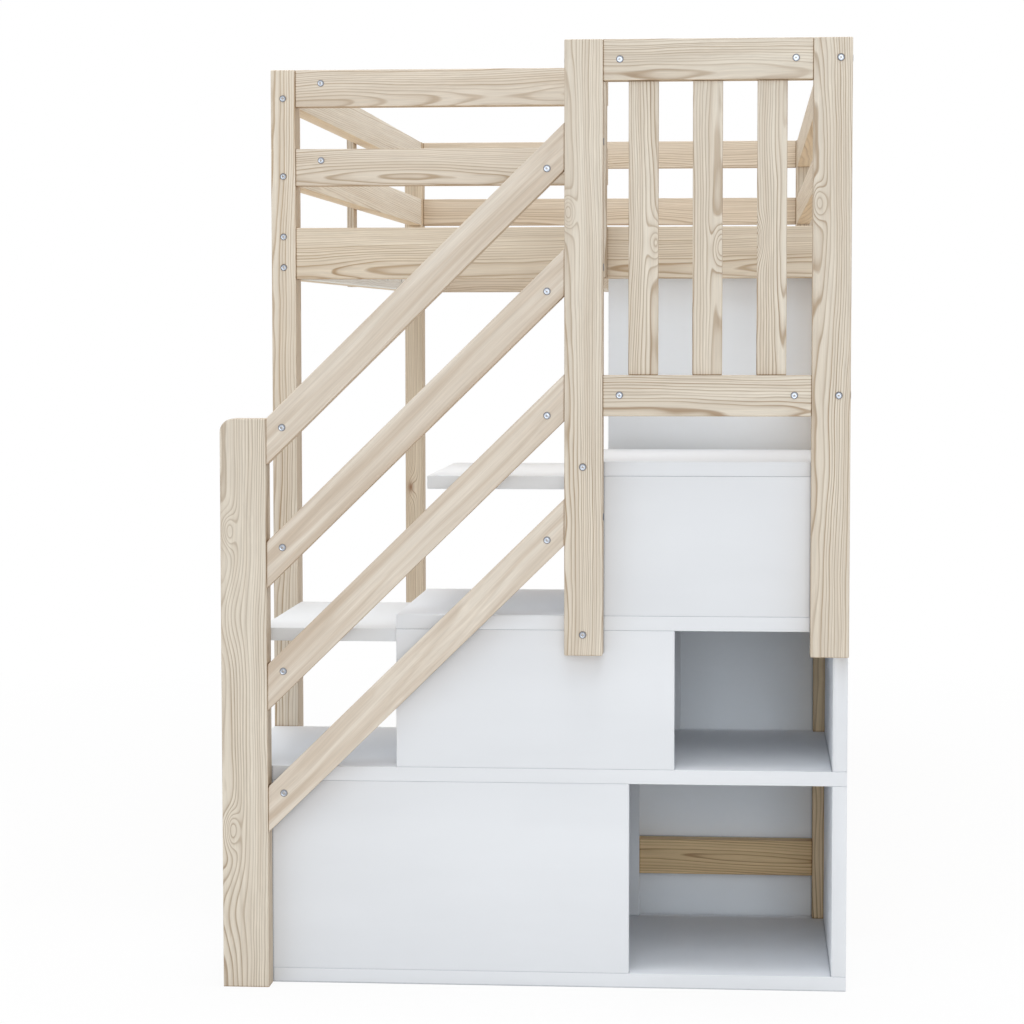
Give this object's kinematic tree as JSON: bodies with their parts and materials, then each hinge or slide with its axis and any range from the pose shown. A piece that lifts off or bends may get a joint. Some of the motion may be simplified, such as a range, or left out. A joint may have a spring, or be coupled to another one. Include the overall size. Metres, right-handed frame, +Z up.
{
  "type": "loft bed with storage stairs",
  "caption": "High single bed on four tall posts with guard rails all round, and a railed flight of box stairs with open cubbies and pull-out boards across its near end.",
  "frame": {"origin": "on the floor, under the middle of the whole object's bounding box", "axes": "+X up the stairs, to the right as seen from the stair end; +Y along the bed, away from the stairs; +Z up"},
  "size_m": [1.025, 2.595, 1.548],
  "materials": {
    "pine": "natural pine, clear matt lacquer",
    "slat_wood": "planed softwood, unfinished",
    "white_board": "white satin-painted wood board"
  },
  "bodies": {
    "bed": {"near_left_post": "pine", "near_right_post": "pine", "far_left_post": "pine", "far_right_post": "pine", "entry_post": "pine", "near_bed_rail": "pine", "far_bed_rail": "pine", "left_bed_rail": "pine", "right_bed_rail": "pine", "near_middle_guard": "pine", "far_middle_guard": "pine", "left_middle_guard": "pine", "right_middle_guard": "pine", "near_top_guard": "pine", "far_top_guard": "pine", "left_top_guard": "pine", "right_top_guard": "pine", "near_stretcher": "pine", "far_stretcher": "pine", "left_guard_stay": "pine", "left_slat_ledger": "white_board", "right_slat_ledger": "white_board", "slat_beam": "white_board", "slat_base": "slat_wood", "carcass_floor": "white_board", "tread_1": "white_board", "tread_2": "white_board", "landing_board": "white_board", "front_panel_1": "white_board", "front_panel_2": "white_board", "front_panel_3": "white_board", "riser_1": "white_board", "riser_2": "white_board", "riser_3": "white_board", "right_side_1": "white_board", "right_side_2": "white_board", "right_side_3": "white_board", "back_board_1": "white_board", "back_board_2": "white_board", "lower_runner_front": "white_board", "lower_runner_back": "white_board", "upper_runner_front": "white_board", "upper_runner_back": "white_board", "back_panel": "white_board", "newel_post": "pine", "stair_rail_1": "pine", "stair_rail_2": "pine", "stair_rail_3": "pine", "stair_rail_4": "pine", "landing_left_post": "pine", "landing_right_post": "pine", "landing_guard_top_rail": "pine", "landing_guard_bottom_rail": "pine", "landing_guard_slat_1": "pine", "landing_guard_slat_2": "pine", "landing_guard_slat_3": "pine", "landing_side_top_rail": "pine", "landing_side_bottom_rail": "pine"},
    "lower_board": {"pull_board_lower": "white_board"},
    "upper_board": {"pull_board_upper": "white_board"}
  },
  "joints": [
    {"name": "lower_board_slide", "type": "slide", "parent": "bed", "child": "lower_board", "axis": [1, 0, 0], "range_m": [0, 0.23]},
    {"name": "upper_board_slide", "type": "slide", "parent": "bed", "child": "upper_board", "axis": [1, 0, 0], "range_m": [0, 0.23]}
  ]
}
